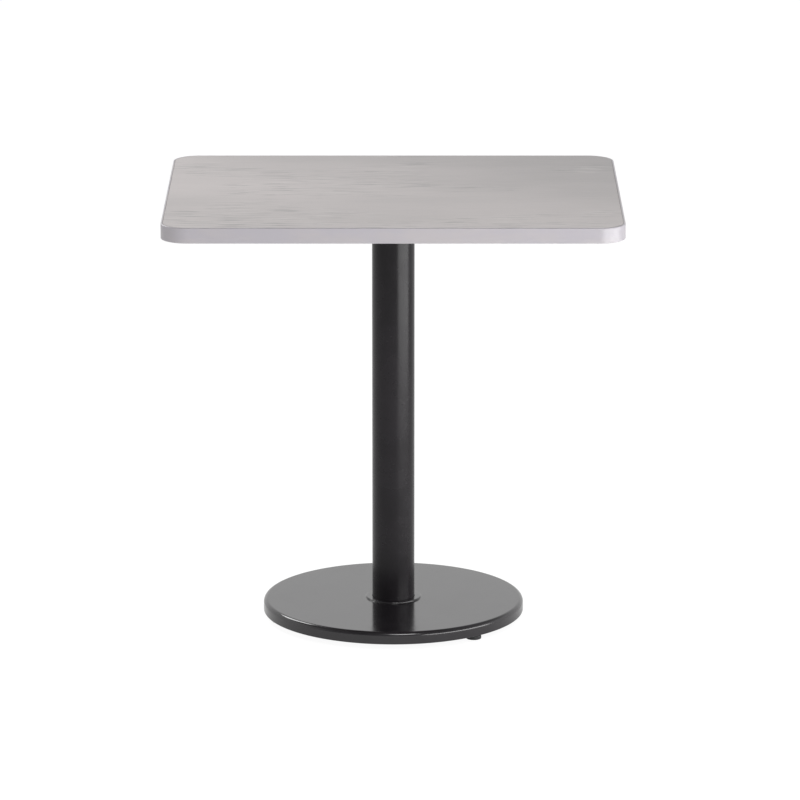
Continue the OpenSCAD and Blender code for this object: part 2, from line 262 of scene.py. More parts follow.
def build_band_sweep(name):
    """Sweeps the object's own section round a rectangle with round corners, and cuts the joint."""
    tree, given, result = new_tree(
        name, "GeometryNodeTree",
        [("Section", "NodeSocketGeometry", None), ("Length", "NodeSocketFloat", 0.756),
         ("Depth", "NodeSocketFloat", 0.604), ("Corner radius", "NodeSocketFloat", 0.042),
         ("Height", "NodeSocketFloat", 0.7), ("Joint", "NodeSocketFloat", 0.0003),
         ("Material", "NodeSocketMaterial", None)],
        [("Geometry", "NodeSocketGeometry")])
    path = add_node(tree, "GeometryNodeCurvePrimitiveQuadrilateral", {
        "Width": given["Length"], "Height": given["Depth"]})
    rounded = add_node(tree, "GeometryNodeFilletCurve", {
        "Curve": path.outputs[0], "Radius": given["Corner radius"], "Count": 24}, mode="POLY")
    section = add_node(tree, "GeometryNodeMeshToCurve", {"Mesh": given["Section"]})
    swept = add_node(tree, "GeometryNodeCurveToMesh", {
        "Curve": rounded.outputs[0], "Profile Curve": section.outputs[0], "Fill Caps": False})
    lift = add_node(tree, "ShaderNodeCombineXYZ", {2: given["Height"]})
    raised = add_node(tree, "GeometryNodeSetPosition", {"Geometry": swept.outputs[0], "Offset": lift.outputs[0]})
    cutter_size = add_node(tree, "ShaderNodeCombineXYZ", {0: given["Joint"], 1: 0.06, 2: 0.08})
    cutter = add_node(tree, "GeometryNodeMeshCube", {"Size": cutter_size.outputs[0]})
    behind = add_node(tree, "ShaderNodeCombineXYZ", {
        1: maths(tree, "MULTIPLY", given["Depth"], 0.5), 2: given["Height"]})
    placed = add_node(tree, "GeometryNodeTransform", {
        "Geometry": cutter.outputs[0], "Translation": behind.outputs[0]})
    cut = add_node(tree, "GeometryNodeMeshBoolean", {"Mesh 1": raised.outputs[0]}, operation="DIFFERENCE")
    tree.links.new(placed.outputs[0], cut.inputs["Mesh 2"])
    real = add_node(tree, "GeometryNodeRealizeInstances", {0: cut.outputs[0]})
    painted = add_node(tree, "GeometryNodeSetMaterial", {"Geometry": real.outputs[0], "Material": given["Material"]})
    tree.links.new(painted.outputs[0], result[0])
    return tree


def build_thread(name):
    """Cuts a right hand thread into a turned piece, by moving its surface towards or away from its axis."""
    tree, given, result = new_tree(
        name, "GeometryNodeTree",
        [("Turned piece", "NodeSocketGeometry", None), ("Pitch", "NodeSocketFloat", 0.00125),
         ("Groove", "NodeSocketFloat", 0.0007), ("Start", "NodeSocketFloat", 0.0),
         ("End", "NodeSocketFloat", 0.02), ("Reach", "NodeSocketFloat", 1.0),
         ("Crest", "NodeSocketFloat", 0.85), ("Material", "NodeSocketMaterial", None)],
        [("Geometry", "NodeSocketGeometry")])
    place = add_node(tree, "ShaderNodeSeparateXYZ", {0: tree.nodes.new("GeometryNodeInputPosition").outputs[0]})
    x, y, z = place.outputs
    flat = add_node(tree, "ShaderNodeCombineXYZ", {0: x, 1: y})
    radius = add_node(tree, "ShaderNodeVectorMath", {0: flat.outputs[0]}, operation="LENGTH").outputs["Value"]
    outwards = add_node(tree, "ShaderNodeVectorMath", {0: flat.outputs[0]}, operation="NORMALIZE").outputs[0]
    turn = maths(tree, "DIVIDE", maths(tree, "ARCTAN2", y, x), TAU)
    phase = maths(tree, "FRACT", maths(tree, "SUBTRACT", maths(tree, "DIVIDE", z, given["Pitch"]), turn))
    ridge = maths(tree, "ABSOLUTE", maths(tree, "SUBTRACT", maths(tree, "MULTIPLY", phase, 2.0), 1.0))
    rise = maths(tree, "DIVIDE", maths(tree, "SUBTRACT", 1.0, ridge), given["Crest"])
    groove = maths(tree, "MINIMUM", rise, 1.0)
    runout = maths(tree, "MULTIPLY", given["Pitch"], 1.2)
    after = maths(tree, "DIVIDE", maths(tree, "SUBTRACT", z, given["Start"]), runout, clamp=True)
    before = maths(tree, "DIVIDE", maths(tree, "SUBTRACT", given["End"], z), runout, clamp=True)
    within = maths(tree, "LESS_THAN", radius, given["Reach"])
    mask = maths(tree, "MULTIPLY", maths(tree, "MULTIPLY", after, before), within)
    depth = maths(tree, "MULTIPLY", maths(tree, "MULTIPLY", groove, mask), given["Groove"])
    inwards = add_node(tree, "ShaderNodeVectorMath", {0: outwards, 3: maths(tree, "MULTIPLY", depth, -1.0)},
                       operation="SCALE")
    moved = add_node(tree, "GeometryNodeSetPosition", {
        "Geometry": given["Turned piece"], "Offset": inwards.outputs[0]})
    real = add_node(tree, "GeometryNodeRealizeInstances", {0: moved.outputs[0]})
    painted = add_node(tree, "GeometryNodeSetMaterial", {"Geometry": real.outputs[0], "Material": given["Material"]})
    tree.links.new(painted.outputs[0], result[0])
    return tree


def build_ring_of_copies(name):
    """Sets copies of a piece round the column in rings, each turned to face outwards."""
    tree, given, result = new_tree(
        name, "GeometryNodeTree",
        [("Piece", "NodeSocketGeometry", None), ("Count", "NodeSocketInt", 3),
         ("Radius", "NodeSocketFloat", 0.0), ("First angle", "NodeSocketFloat", 0.0),
         ("Rings", "NodeSocketInt", 1), ("Ring spacing", "NodeSocketFloat", 0.0),
         ("Material", "NodeSocketMaterial", None)],
        [("Geometry", "NodeSocketGeometry")])
    index = tree.nodes.new("GeometryNodeInputIndex").outputs[0]
    which_ring = maths(tree, "MODULO", index, given["Rings"])
    which_arm = maths(tree, "FLOOR", maths(tree, "DIVIDE", index, given["Rings"]))
    step = maths(tree, "DIVIDE", TAU, given["Count"])
    angle = maths(tree, "ADD", given["First angle"], maths(tree, "MULTIPLY", which_arm, step))
    radius = maths(tree, "SUBTRACT", given["Radius"], maths(tree, "MULTIPLY", which_ring, given["Ring spacing"]))
    place = add_node(tree, "ShaderNodeCombineXYZ", {
        0: maths(tree, "MULTIPLY", radius, maths(tree, "COSINE", angle)),
        1: maths(tree, "MULTIPLY", radius, maths(tree, "SINE", angle))})
    count = maths(tree, "MULTIPLY", given["Count"], given["Rings"])
    points = add_node(tree, "GeometryNodePoints", {"Count": count, "Position": place.outputs[0]})
    facing = add_node(tree, "ShaderNodeCombineXYZ", {2: angle})
    copies = add_node(tree, "GeometryNodeInstanceOnPoints", {
        "Points": points.outputs[0], "Instance": given["Piece"], "Rotation": facing.outputs[0]})
    real = add_node(tree, "GeometryNodeRealizeInstances", {0: copies.outputs[0]})
    painted = add_node(tree, "GeometryNodeSetMaterial", {"Geometry": real.outputs[0], "Material": given["Material"]})
    tree.links.new(painted.outputs[0], result[0])
    return tree


def apply_tree(thing, tree, values):
    """Runs a geometry tree on an object and keeps the result as its plain mesh."""
    modifier = thing.modifiers.new(tree.name, "NODES")
    modifier.node_group = tree
    sockets = {item.name: item.identifier for item in tree.interface.items_tree if item.in_out == "INPUT"}
    for title, value in values.items():
        modifier[sockets[title]] = value
    bake_modifiers(thing)


def bake_modifiers(thing):
    """Replaces an object's mesh with what its modifiers make of it, and removes them."""
    bpy.context.view_layer.update()
    evaluated = thing.evaluated_get(bpy.context.evaluated_depsgraph_get())
    mesh = bpy.data.meshes.new_from_object(evaluated)
    thing.modifiers.clear()
    for number in reversed(range(len(mesh.materials))):
        if mesh.materials[number] is None:
            mesh.materials.pop(index=number)
    old = thing.data
    thing.data = mesh
    mesh.name = thing.name
    bpy.data.meshes.remove(old)


# --- Mesh work ---

def rounded_path(corners, closed=True, fine=10.0, support=0.6):
    """A path through (x, y, radius) corners, each rounded, with points close beside the arcs.

    fine is the widest turn of an arc's step, in degrees. The close points keep flat
    faces flat in smooth shading.
    """
    path = []
    count = len(corners)
    for index, (x, y, radius) in enumerate(corners):
        corner = Vector((x, y))
        at_end = not closed and index in (0, count - 1)
        if at_end or radius <= 0:
            path.append(corner)
            continue
        back = (Vector(corners[index - 1][:2]) - corner).normalized()
        ahead = (Vector(corners[(index + 1) % count][:2]) - corner).normalized()
        between = back.angle(ahead)
        reach = radius/math.tan(between/2)
        centre = corner + (back + ahead).normalized()*(radius/math.sin(between/2))
        start = corner + back*reach - centre
        turn = math.pi - between
        spin = -1 if back.cross(ahead) > 0 else 1
        steps = max(2, math.ceil(math.degrees(turn)/fine))
        for step in range(steps + 1):
            path.append(centre + Matrix.Rotation(spin*turn*step/steps, 2) @ start)
    spans = list(zip(path, path[1:] + path[:1])) if closed else list(zip(path, path[1:]))
    supported = []
    for start, end in spans:
        supported.append(start)
        if (end - start).length > 5*support:
            along = (end - start).normalized()*support
            supported.extend((start + along, end - along))
    if not closed:
        supported.append(path[-1])
    return [tuple(point) for point in supported]


def turned(path, segments=96, closed=True, sweep=TAU, shape=None):
    """A bmesh turned round the Z axis from a path of (radius, height).

    shape(angle, radius, height) may give another radius, as on a hexagon. A path that
    isn't closed starts and ends on the axis.
    """
    shell = bmesh.new()
    whole = sweep >= TAU
    stations = segments if whole else segments + 1
    rings = []
    for radius, height in path:
        if radius < 1e-6:
            rings.append([shell.verts.new((0, 0, height))]*stations)
            continue
        ring = []
        for station in range(stations):
            angle = sweep*station/segments
            reach = shape(angle, radius, height) if shape else radius
            ring.append(shell.verts.new((reach*math.cos(angle), reach*math.sin(angle), height)))
        rings.append(ring)
    pairs = list(zip(rings, rings[1:] + rings[:1])) if closed else list(zip(rings, rings[1:]))
    for one, two in pairs:
        for station in range(segments):
            after = (station + 1) % stations
            corners = []
            for vert in (one[station], one[after], two[after], two[station]):
                if vert not in corners:
                    corners.append(vert)
            if len(corners) > 2:
                shell.faces.new(corners)
    if not whole:
        shell.faces.new([ring[0] for ring in rings])
        shell.faces.new([ring[-1] for ring in rings])
    bmesh.ops.recalc_face_normals(shell, faces=shell.faces)
    return shell


def prism(outline, low, high):
    """A bmesh that stands on an outline of (x, y), between two heights or two functions of x and y."""
    solid = bmesh.new()
    low_at = low if callable(low) else lambda x, y: low
    high_at = high if callable(high) else lambda x, y: high
    floor = [solid.verts.new((x, y, low_at(x, y))) for x, y in outline]
    roof = [solid.verts.new((x, y, high_at(x, y))) for x, y in outline]
    solid.faces.new(floor)
    solid.faces.new(roof)
    for index in range(len(outline)):
        after = (index + 1) % len(outline)
        solid.faces.new((floor[index], floor[after], roof[after], roof[index]))
    bmesh.ops.recalc_face_normals(solid, faces=solid.faces)
    return solid


def place(shell, x=0.0, y=0.0, z=0.0, turn=0.0):
    """Turns a bmesh round Z, then moves it."""
    shell.transform(Matrix.Translation((x, y, z)) @ Matrix.Rotation(turn, 4, "Z"))
    return shell


def as_object(name, shell, *finishes):
    """Makes a bmesh drawn in millimetres an object in metres, with its finishes."""
    shell.transform(Matrix.Scale(MM, 4))
    mesh = bpy.data.meshes.new(name)
    shell.to_mesh(mesh)
    shell.free()
    thing = bpy.data.objects.new(name, mesh)
    bpy.context.scene.collection.objects.link(thing)
    for finish in finishes:
        mesh.materials.append(material(finish))
    return thing


def combine(thing, operation, *others):
    """Joins other closed pieces to an object, or cuts them from it, and removes them."""
    for other in others:
        modifier = thing.modifiers.new(operation.lower(), "BOOLEAN")
        modifier.operation = operation
        modifier.solver = "MANIFOLD"
        modifier.object = other
    bake_modifiers(thing)
    for other in others:
        mesh = other.data
        bpy.data.objects.remove(other)
        bpy.data.meshes.remove(mesh)
    return thing


def smooth(thing, sharp=32.0, weighted=False):
    """Shades an object smooth up to an angle in degrees, and keeps large flat faces flat if asked."""
    thing.data.shade_smooth()
    thing.data.set_sharp_from_angle(angle=math.radians(sharp))
    if weighted:
        modifier = thing.modifiers.new("flat_faces", "WEIGHTED_NORMAL")
        modifier.keep_sharp = True
        bake_modifiers(thing)
    return thing


def settle(thing, body, slot, *nodes):
    """Rides a finished piece on its body and lets it stand for its construction nodes."""
    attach(thing, body)
    if nodes:
        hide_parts(*nodes)


def hexagon(across, low, high, inner):
    """A shape for turned(): a hexagon across its flats, between two heights and beyond an inner radius."""
    def reach(angle, radius, height):
        if radius <= inner or not low <= height <= high:
            return radius
        off_flat = (angle % (TAU/6)) - TAU/12
        return min(radius, across/2/math.cos(off_flat))
    return reach


def thread_rows(radius, low, high, pitch):
    """Closely spaced points of a turned path, for a thread to be cut in."""
    rows = max(2, round((high - low)/pitch*8))
    return [(radius, low + (high - low)*row/rows) for row in range(rows + 1)]


# --- Shader groups ---

def blend_colours(tree, factor, first, second, mode="MIX"):
    """The output of a colour Mix node."""
    node = add_node(tree, "ShaderNodeMix", data_type="RGBA", blend_type=mode)
    for key, value in ((0, factor), (6, first), (7, second)):
        if isinstance(value, bpy.types.NodeSocket):
            tree.links.new(value, node.inputs[key])
        elif key == 0:
            node.inputs[key].default_value = value
        else:
            node.inputs[key].default_value = (*value, 1)
    return node.outputs[2]


def stretched_noise(tree, place, scales, detail=3.0, roughness=0.55, offset=(0, 0, 0)):
    """Noise on a position, with its own scale along each axis."""
    mapping = add_node(tree, "ShaderNodeMapping", {"Vector": place, "Scale": scales, "Location": offset})
    noise = add_node(tree, "ShaderNodeTexNoise", {
        "Vector": mapping.outputs[0], "Scale": 1.0, "Detail": detail, "Roughness": roughness})
    return noise.outputs["Fac"]


def use_group(tree, group, inputs):
    """A shader group placed in a material, with its inputs set or linked."""
    node = add_node(tree, "ShaderNodeGroup", node_tree=group)
    for key, value in inputs.items():
        if isinstance(value, bpy.types.NodeSocket):
            tree.links.new(value, node.inputs[key])
        else:
            node.inputs[key].default_value = value
    return node


def build_streaks(name):
    """Long thin grain streaks that thin out and gather in bands."""
    tree, given, result = new_tree(
        name, "ShaderNodeTree",
        [("Place", "NodeSocketVector", None), ("Length", "NodeSocketFloat", 0.06),
         ("Width", "NodeSocketFloat", 0.003), ("Detail", "NodeSocketFloat", 3.0)],
        [("Value", "NodeSocketFloat")])
    along = maths(tree, "DIVIDE", 1.0, given["Length"])
    across = maths(tree, "DIVIDE", 1.0, given["Width"])
    scale = add_node(tree, "ShaderNodeCombineXYZ", {0: along, 1: across, 2: across})
    bend = add_node(tree, "ShaderNodeTexNoise", {"Vector": given["Place"], "Scale": 5.0, "Detail": 2.0})
    sway = maths(tree, "MULTIPLY", maths(tree, "SUBTRACT", bend.outputs["Fac"], 0.5), 0.011)
    shift = add_node(tree, "ShaderNodeCombineXYZ", {1: sway})
    bent = add_node(tree, "ShaderNodeVectorMath", {0: given["Place"], 1: shift.outputs[0]}, operation="ADD")
    scaled = add_node(tree, "ShaderNodeVectorMath", {0: bent.outputs[0], 1: scale.outputs[0]}, operation="MULTIPLY")
    noise = add_node(tree, "ShaderNodeTexNoise", {
        "Vector": scaled.outputs[0], "Scale": 1.0, "Detail": given["Detail"], "Roughness": 0.5})
    tree.links.new(noise.outputs["Fac"], result["Value"])
    return tree


def build_coat_skin(name):
    """The skin of a powder coat: soft orange peel and fine pits."""
    tree, given, result = new_tree(
        name, "ShaderNodeTree",
        [("Place", "NodeSocketVector", None), ("Peel", "NodeSocketFloat", 900.0), ("Pits", "NodeSocketFloat", 0.2)],
        [("Height", "NodeSocketFloat"), ("Haze", "NodeSocketFloat")])
    peel = add_node(tree, "ShaderNodeTexNoise", {
        "Vector": given["Place"], "Scale": given["Peel"], "Detail": 2.0, "Roughness": 0.4})
    pit_scale = maths(tree, "MULTIPLY", given["Peel"], 2.3)
    cells = add_node(tree, "ShaderNodeTexVoronoi", {"Vector": given["Place"], "Scale": pit_scale})
    pit = remap(tree, cells.outputs["Distance"], 0.0, 0.35, 1.0, 0.0)
    sunk = maths(tree, "MULTIPLY", pit, given["Pits"])
    height = maths(tree, "SUBTRACT", peel.outputs["Fac"], sunk)
    haze = add_node(tree, "ShaderNodeTexNoise", {
        "Vector": given["Place"], "Scale": 14.0, "Detail": 5.0, "Roughness": 0.6})
    tree.links.new(height, result["Height"])
    tree.links.new(haze.outputs["Fac"], result["Haze"])
    return tree


def build_marks(name):
    """Handling marks: dust specks and short fine scratches, as a mask."""
    tree, given, result = new_tree(
        name, "ShaderNodeTree",
        [("Place", "NodeSocketVector", None), ("Specks", "NodeSocketFloat", 120.0), ("Amount", "NodeSocketFloat", 0.3)],
        [("Mask", "NodeSocketFloat")])
    cells = add_node(tree, "ShaderNodeTexVoronoi", {
        "Vector": given["Place"], "Scale": given["Specks"], "Randomness": 1.0})
    speck = remap(tree, cells.outputs["Distance"], 0.03, 0.09, 1.0, 0.0)
    patch = add_node(tree, "ShaderNodeTexNoise", {"Vector": given["Place"], "Scale": 9.0, "Detail": 4.0})
    where = remap(tree, patch.outputs["Fac"], 0.5, 0.7)
    scratch_lines = stretched_noise(tree, given["Place"], (40, 2200, 900), 1.0, 0.4, (3.1, 1.7, 0.4))
    scratch = remap(tree, scratch_lines, 0.70, 0.76)
    both = maths(tree, "ADD", maths(tree, "MULTIPLY", speck, where), maths(tree, "MULTIPLY", scratch, where))
    mask = maths(tree, "MULTIPLY", both, given["Amount"], clamp=True)
    tree.links.new(mask, result["Mask"])
    return tree


def start_material(name, **fixed):
    """A material with a Principled surface whose fixed sockets are set, as (material, tree, surface, place)."""
    made = bpy.data.materials.new(name)
    made.use_nodes = True
    tree = made.node_tree
    surface = tree.nodes["Principled BSDF"]
    for key, value in fixed.items():
        surface.inputs[key.replace("_", " ")].default_value = value
    place = tree.nodes.new("ShaderNodeTexCoord").outputs["Object"]
    return made, tree, surface, place


def bump(tree, surface, height, distance, strength=1.0):
    """Feeds a height in units of distance into a surface's normal."""
    node = add_node(tree, "ShaderNodeBump", {"Height": height, "Distance": distance, "Strength": strength})
    tree.links.new(node.outputs[0], surface.inputs["Normal"])


# --- Materials ---

def laminate_material():
    """Pale wood-look laminate, its grain running along the top, with painted shade that darkens it towards the back
    right.
    """
    settings = look("table_top_look")
    made, tree, surface, place = start_material("laminate_wood_look", IOR=1.5)
    streaks = shared("grain_streaks", build_streaks)
    long_grain = use_group(tree, streaks, {
        "Place": place, "Length": settings.streak_length, "Width": settings.streak_width, "Detail": 2.5}).outputs[0]
    fine_grain = use_group(tree, streaks, {
        "Place": place, "Length": settings.streak_length*0.6, "Width": settings.streak_width*0.16,
        "Detail": 2.0}).outputs[0]
    figure = stretched_noise(tree, place, (3.0, 14.0, 1.0), 3.0, 0.5)
    bands = stretched_noise(tree, place, (2.6, 8.0, 1.0), 2.0, 0.5, (4.0, 2.0, 0.0))
    x, y, z = add_node(tree, "ShaderNodeSeparateXYZ", {0: place}).outputs
    near_edge = remap(tree, y, -0.22, -0.28)
    gathered = maths(tree, "MAXIMUM", remap(tree, bands, 0.46, 0.58, 0.1, 1.0), near_edge)
    dark_lines = maths(tree, "MULTIPLY", remap(tree, long_grain, 0.585, 0.625), gathered)
    light_lines = maths(tree, "MULTIPLY", remap(tree, long_grain, 0.41, 0.37), gathered)
    pores = stretched_noise(tree, place, (160.0, 2600.0, 1.0), 1.0, 0.5, (1.0, 6.0, 0.0))
    pore_mask = maths(tree, "MULTIPLY", remap(tree, pores, 0.62, 0.72), 0.22)
    cloud = stretched_noise(tree, place, (2.4, 4.0, 1.0), 2.0, 0.5, (0.3, 7.2, 0.0))
    # Painted shade: a smooth ramp darkens the top towards its back right corner, standing in for light that falls off
    # there.
    slope = maths(tree, "ADD", maths(tree, "MULTIPLY", x, 0.55), maths(tree, "MULTIPLY", y, 0.85))
    painted_shade_back_right = maths(tree, "MULTIPLY", remap(tree, slope, -0.12, 0.42), 0.40)
    tone = maths(tree, "ADD", maths(tree, "MULTIPLY", remap(tree, figure, 0.3, 0.7), 0.10),
                 maths(tree, "MULTIPLY", fine_grain, 0.14))
    tone = maths(tree, "ADD", tone, maths(tree, "MULTIPLY", dark_lines, 0.66))
    tone = maths(tree, "ADD", tone, painted_shade_back_right)
    tone = maths(tree, "ADD", tone, maths(tree, "MULTIPLY", remap(tree, cloud, 0.35, 0.65), 0.14))
    tone = maths(tree, "ADD", tone, pore_mask, clamp=True)
    base = blend_colours(tree, tone, settings.laminate_light, settings.laminate_dark)
    pale = maths(tree, "MULTIPLY", light_lines, 0.55)
    colour = blend_colours(tree, pale, base, (0.60, 0.575, 0.56))
    tree.links.new(colour, surface.inputs["Base Color"])
    rough = maths(tree, "ADD", maths(tree, "MULTIPLY", fine_grain, 0.10), settings.satin - 0.05)
    tree.links.new(rough, surface.inputs["Roughness"])
    relief = maths(tree, "SUBTRACT", maths(tree, "MULTIPLY", fine_grain, 0.6), maths(tree, "MULTIPLY", pore_mask, 2.0))
    bump(tree, surface, relief, 0.03*MM, 0.6)
    return made


def kraft_material():
    """Dark phenolic kraft: the laminate's cut edge and the backer sheet's sanded face."""
    settings = look("table_top_look")
    made, tree, surface, place = start_material("kraft_backer", IOR=1.5, Roughness=0.55)
    sanding = use_group(tree, shared("grain_streaks", build_streaks), {
        "Place": place, "Length": 0.09, "Width": 0.0006, "Detail": 2.0}).outputs[0]
    cloud = stretched_noise(tree, place, (9.0, 9.0, 9.0), 5.0, 0.6)
    tone = maths(tree, "ADD", maths(tree, "MULTIPLY", sanding, 0.5), maths(tree, "MULTIPLY", cloud, 0.5), clamp=True)
    paler = tuple(1.7*c for c in settings.kraft_colour)
    colour = blend_colours(tree, remap(tree, tone, 0.35, 0.65), settings.kraft_colour, paler)
    tree.links.new(colour, surface.inputs["Base Color"])
    tree.links.new(remap(tree, sanding, 0.3, 0.7, 0.48, 0.62), surface.inputs["Roughness"])
    bump(tree, surface, sanding, 0.02*MM, 0.5)
    return made


def particle_board_material():
    """Pressed wood chips."""
    made, tree, surface, place = start_material("particle_board", Roughness=0.85)
    chips = add_node(tree, "ShaderNodeTexVoronoi", {"Vector": place, "Scale": 260.0})
    tone = add_node(tree, "ShaderNodeSeparateColor", {0: chips.outputs["Color"]}).outputs[0]
    colour = blend_colours(tree, tone, (0.50, 0.35, 0.20), (0.34, 0.21, 0.10))
    tree.links.new(colour, surface.inputs["Base Color"])
    bump(tree, surface, chips.outputs["Distance"], 0.15*MM, 0.8)
    return made


def edge_band_material():
    """Smooth extruded edging, with faint draw lines round the edge."""
    settings = look("table_top_look")
    made, tree, surface, place = start_material("edge_band_vinyl", IOR=1.5)
    cloud = stretched_noise(tree, place, (12.0, 12.0, 30.0), 4.0, 0.55)
    cooler = tuple(c*k for c, k in zip(settings.band_colour, (0.95, 0.96, 1.0)))
    colour = blend_colours(tree, remap(tree, cloud, 0.35, 0.65), settings.band_colour, cooler)
    marks = use_group(tree, shared("handling_marks", build_marks), {
        "Place": place, "Specks": 90.0, "Amount": 0.10}).outputs[0]
    colour = blend_colours(tree, marks, colour, (0.36, 0.34, 0.35))
    tree.links.new(colour, surface.inputs["Base Color"])
    lines = stretched_noise(tree, place, (6.0, 6.0, 2400.0), 2.0, 0.5)
    tree.links.new(remap(tree, lines, 0.3, 0.7, 0.30, 0.38), surface.inputs["Roughness"])
    bump(tree, surface, lines, 0.012*MM, 0.5)
    return made


def powder_coat_material(name, colour, roughness, ior, peel, depth, pits=0.2):
    """Black powder coat: orange peel, faint haze and a few handling marks."""
    made, tree, surface, place = start_material(name, IOR=ior)
    skin = use_group(tree, shared("coat_skin", build_coat_skin), {"Place": place, "Peel": peel, "Pits": pits})
    marks = use_group(tree, shared("handling_marks", build_marks), {
        "Place": place, "Specks": 70.0, "Amount": 0.14}).outputs[0]
    hazy = tuple(1.5*c for c in colour)
    shade = blend_colours(tree, remap(tree, skin.outputs["Haze"], 0.35, 0.65), colour, hazy)
    shade = blend_colours(tree, marks, shade, (0.09, 0.088, 0.085))
    tree.links.new(shade, surface.inputs["Base Color"])
    satin = remap(tree, skin.outputs["Haze"], 0.3, 0.7, roughness - 0.03, roughness + 0.04)
    rough = maths(tree, "ADD", satin, maths(tree, "MULTIPLY", marks, 0.5), clamp=True)
    tree.links.new(rough, surface.inputs["Roughness"])
    bump(tree, surface, skin.outputs["Height"], depth, 0.7)
    return made


def rough_casting_material():
    """Sand-cast iron under a thin coat of matt black."""
    settings = look("metal_look")
    made, tree, surface, place = start_material("coated_sand_casting", IOR=1.45)
    sand = stretched_noise(tree, place, (420.0, 420.0, 420.0), 4.0, 0.62)
    swell = stretched_noise(tree, place, (60.0, 60.0, 60.0), 3.0, 0.5)
    dusty = tuple(2.6*c for c in settings.casting_colour)
    colour = blend_colours(tree, remap(tree, swell, 0.35, 0.7), settings.casting_colour, dusty)
    tree.links.new(colour, surface.inputs["Base Color"])
    tree.links.new(remap(tree, sand, 0.3, 0.7, 0.42, 0.62), surface.inputs["Roughness"])
    relief = maths(tree, "ADD", sand, maths(tree, "MULTIPLY", swell, 1.5))
    bump(tree, surface, relief, 0.16*MM, 0.8)
    return made


def metal_material(name, colour, roughness, grain=700.0, tint=None):
    """Plated or bare metal with a faint grain and uneven shine."""
    made, tree, surface, place = start_material(name, Metallic=1.0)
    grains = stretched_noise(tree, place, (grain, grain, grain), 3.0, 0.6)
    cloud = stretched_noise(tree, place, (55.0, 55.0, 55.0), 3.0, 0.5)
    other = tint or tuple(0.78*c for c in colour)
    shade = blend_colours(tree, remap(tree, cloud, 0.35, 0.7), colour, other)
    tree.links.new(shade, surface.inputs["Base Color"])
    tree.links.new(remap(tree, grains, 0.3, 0.7, roughness - 0.06, roughness + 0.08), surface.inputs["Roughness"])
    bump(tree, surface, grains, 0.01*MM, 0.5)
    return made


def nylon_material():
    """Moulded black nylon, a little scuffed."""
    settings = look("metal_look")
    made, tree, surface, place = start_material("moulded_nylon", IOR=1.53)
    grain = stretched_noise(tree, place, (1100.0, 1100.0, 1100.0), 2.0, 0.5)
    marks = use_group(tree, shared("handling_marks", build_marks), {
        "Place": place, "Specks": 400.0, "Amount": 0.5}).outputs[0]
    colour = blend_colours(tree, marks, settings.nylon_colour, (0.10, 0.10, 0.10))
    tree.links.new(colour, surface.inputs["Base Color"])
    tree.links.new(remap(tree, grain, 0.3, 0.7, 0.38, 0.52), surface.inputs["Roughness"])
    bump(tree, surface, grain, 0.03*MM, 0.6)
    return made


MAKERS = {
    "laminate_wood_look": laminate_material,
    "kraft_backer": kraft_material,
    "particle_board": particle_board_material,
    "edge_band_vinyl": edge_band_material,
    "column_coat": lambda: powder_coat_material(
        "column_coat", look("metal_look").column_colour, 0.26, 1.31, 1100.0, 0.015*MM),
    "base_coat": lambda: powder_coat_material(
        "base_coat", look("metal_look").casting_colour, 0.14, 1.56, 700.0, 0.010*MM),
    "coated_sand_casting": rough_casting_material,
    "zinc_plate": lambda: metal_material("zinc_plate", look("metal_look").zinc_colour, 0.30),
    "spring_steel": lambda: metal_material("spring_steel", (0.13, 0.13, 0.14), 0.38),
    "rod_steel": lambda: metal_material("rod_steel", (0.50, 0.50, 0.50), 0.34),
    "brass_bush": lambda: metal_material("brass_bush", look("metal_look").brass_colour, 0.28),
    "moulded_nylon": nylon_material,
}


def material(name):
    """A finish by name, made on first use."""
    return bpy.data.materials.get(name) or MAKERS[name]()


# --- Operators ---

def finish_node(node, finish):
    """Gives a construction node a finish in its own material slots."""
    thing = NODES[node]
    if not thing.material_slots:
        thing.data.materials.append(material(finish))
    for mesh_slot in thing.material_slots:
        mesh_slot.material = material(finish)


def rectangle_outline(length, depth, radius):
    """The outline of a rectangle with round corners."""
    corners = [(length/2, depth/2), (-length/2, depth/2), (-length/2, -depth/2), (length/2, -depth/2)]
    return rounded_path([(x, y, radius) for x, y in corners], fine=3.75, support=1.0)


def laminate_plate(settings):
    """The laminate sheet, bevelled at its edge by the trimmer."""
    length = SHEET_HIGH.x - SHEET_LOW.x
    depth = SHEET_HIGH.y - SHEET_LOW.y
    trim = settings.trim/MM
    rows = ((SHEET_LOW.z, 0.0), (SHEET_HIGH.z - trim, 0.0), (SHEET_HIGH.z, trim))
    plate = bmesh.new()
    rings = []
    for height, inset in rows:
        outline = rectangle_outline(length - 2*inset, depth - 2*inset, CORE_CORNER_R - inset)
        rings.append([plate.verts.new((x, y, height)) for x, y in outline])
    for one, two in zip(rings, rings[1:]):
        for index in range(len(one)):
            after = (index + 1) % len(one)
            plate.faces.new((one[index], one[after], two[after], two[index])).material_index = 1
    plate.faces.new(rings[0]).material_index = 1
    plate.faces.new(rings[-1])
    bmesh.ops.recalc_face_normals(plate, faces=plate.faces)
    return plate


def band_section(settings):
    """The edge band's section, its face and barbed tongue, as a loop of edges in millimetres."""
    face = BAND_HIGH.x - SHEET_HIGH.x
    height = BAND_HIGH.z - BAND_LOW.z
    outer = settings.band_round/MM
    neck, barb, tongue, barb_step = 0.9, 1.4, 9.0, 2.0
    slot = 12.8
    upper = []
    for index in range(4):
        start = -tongue + index*barb_step
        upper += [(start, slot + neck, 0), (start + 1.4, slot + barb, 0), (start + 1.6, slot + neck, 0)]
    lower = [(x, 2*slot - y, 0) for x, y, radius in reversed(upper)]
    corners = [*upper, (0, slot + neck, 0), (0, height, 0.5), (face, height, outer), (face, 0, outer),
               (0, 0, 0.5), (0, slot - neck, 0), *lower]
    loop = rounded_path(corners, fine=15.0, support=0.8)
    section = bmesh.new()
    verts = [section.verts.new((x, -y, 0)) for x, y in loop]
    for index, vert in enumerate(verts):
        section.edges.new((vert, verts[(index + 1) % len(verts)]))
    return section


